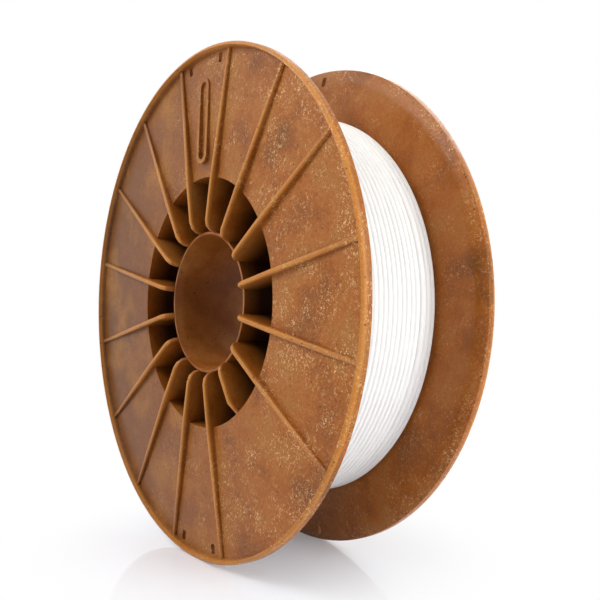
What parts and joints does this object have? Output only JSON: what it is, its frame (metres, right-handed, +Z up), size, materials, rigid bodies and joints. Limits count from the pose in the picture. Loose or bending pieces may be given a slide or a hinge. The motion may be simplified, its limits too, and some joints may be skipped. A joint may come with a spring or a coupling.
{
  "type": "filament spool",
  "caption": "Ribbed wood-filled plastic spool in two clipped halves, wound with white printer filament and turning on a holder through its bore.",
  "frame": {"origin": "centre of the bore, at mid width", "axes": "+Y along the spool's axis from the front half to the rear half, +Z up as it stands on its rims"},
  "size_m": [0.2, 0.059, 0.2],
  "materials": {
    "wood_filled_plastic": "moulded wood-filled bioplastic, satin",
    "white_filament": "extruded, satin gloss"
  },
  "bodies": {
    "root": {"front_half": "wood_filled_plastic", "rear_half": "wood_filled_plastic", "filament_winding": "white_filament"}
  },
  "joints": []
}
